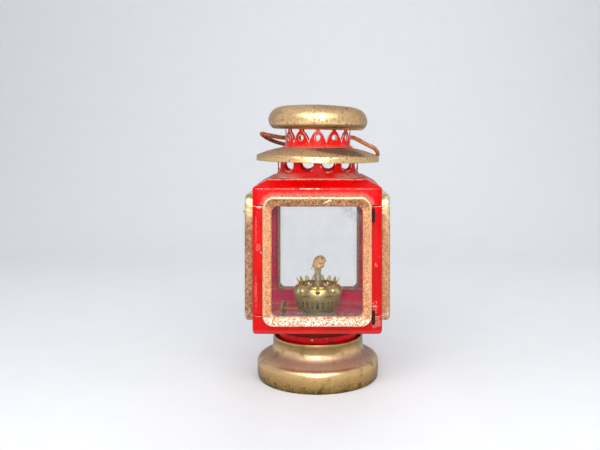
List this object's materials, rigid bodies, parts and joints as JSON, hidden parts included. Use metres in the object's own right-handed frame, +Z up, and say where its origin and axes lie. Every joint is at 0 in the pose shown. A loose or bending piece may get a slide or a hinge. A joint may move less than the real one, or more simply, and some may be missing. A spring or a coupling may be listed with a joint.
{
  "type": "wagon oil lamp",
  "caption": "Square red glazed oil lamp with a round brass fount and burner, a hinged glass door, a pierced chimney with a brass shade and cap, and a wire bail.",
  "frame": {"origin": "middle of the fount's flat resting face, on the lamp's upright axis", "axes": "+Z up along the lamp's axis, -Y out of the glazed door, +X towards the door's hinges"},
  "size_m": [0.1376, 0.1459, 0.2697],
  "materials": {
    "fount_brass": "polished, tarnished",
    "burner_brass": "dull, stamped",
    "chimney_brass": "spotted, dusty",
    "ring_brass": "dull",
    "rusted_frame": "rusted",
    "red_enamel": "gloss",
    "window_glass": "dusty",
    "cotton": "matte",
    "tinned_steel": "dull",
    "rusty_wire": "rusted"
  },
  "bodies": {
    "fount": {"fount_shell": "fount_brass", "fount_base": "fount_brass", "fount_dome": "fount_brass", "screw_collar": "burner_brass", "burner_base": "burner_brass", "burner_basket": "burner_brass", "burner_gallery": "burner_brass", "burner_cone": "burner_brass", "wick_tube": "tinned_steel"},
    "wick": {"wick": "cotton"},
    "wick_drive": {"wick_spindle": "burner_brass", "wick_wheel": "burner_brass", "wick_knob": "burner_brass"},
    "lantern": {"neck_collar": "red_enamel", "lower_pressing": "red_enamel", "post_front_left": "red_enamel", "post_front_right": "red_enamel", "post_rear_left": "red_enamel", "post_rear_right": "red_enamel", "upper_pressing": "red_enamel", "vent_collar": "red_enamel", "shade": "chimney_brass", "crown_collar": "red_enamel", "cap_baffle": "chimney_brass", "cap": "chimney_brass", "frame_left": "rusted_frame", "frame_right": "rusted_frame", "frame_rear": "rusted_frame", "glass_left": "window_glass", "glass_right": "window_glass", "glass_rear": "window_glass", "ring_left": "ring_brass", "ring_right": "ring_brass", "ring_rear": "ring_brass", "hinge_leaves": "tinned_steel", "hinge_pins": "tinned_steel", "door_catch": "tinned_steel"},
    "door": {"door_frame": "rusted_frame", "door_glass": "window_glass", "door_ring": "ring_brass", "door_barrels": "tinned_steel"},
    "bail": {"bail": "rusty_wire"}
  },
  "joints": [
    {"name": "lantern_lift", "type": "slide", "parent": "fount", "child": "lantern", "axis": [0, 0, 1], "range_m": [0, 0.1]},
    {"name": "spindle_turn", "type": "hinge", "parent": "fount", "child": "wick_drive", "pos_m": [-0.0013, -0.00611, 0.06545], "axis": [0.9781, -0.2079, 0], "range_deg": [0, 150]},
    {"name": "wick_rise", "type": "slide", "parent": "fount", "child": "wick", "axis": [0, 0, 1], "range_m": [0, 0.009]},
    {"name": "door_swing", "type": "hinge", "parent": "lantern", "child": "door", "pos_m": [0.05145, -0.06185, 0.11875], "axis": [0, 0, 1], "range_deg": [0, 110]},
    {"name": "bail_swing", "type": "hinge", "parent": "lantern", "child": "bail", "pos_m": [0, 0, 0.23638], "axis": [1, 0, 0], "range_deg": [0, 200]}
  ],
  "couplings": [
    {"joint": "wick_rise", "follows": "spindle_turn", "m_per_rad": 0.003437}
  ]
}
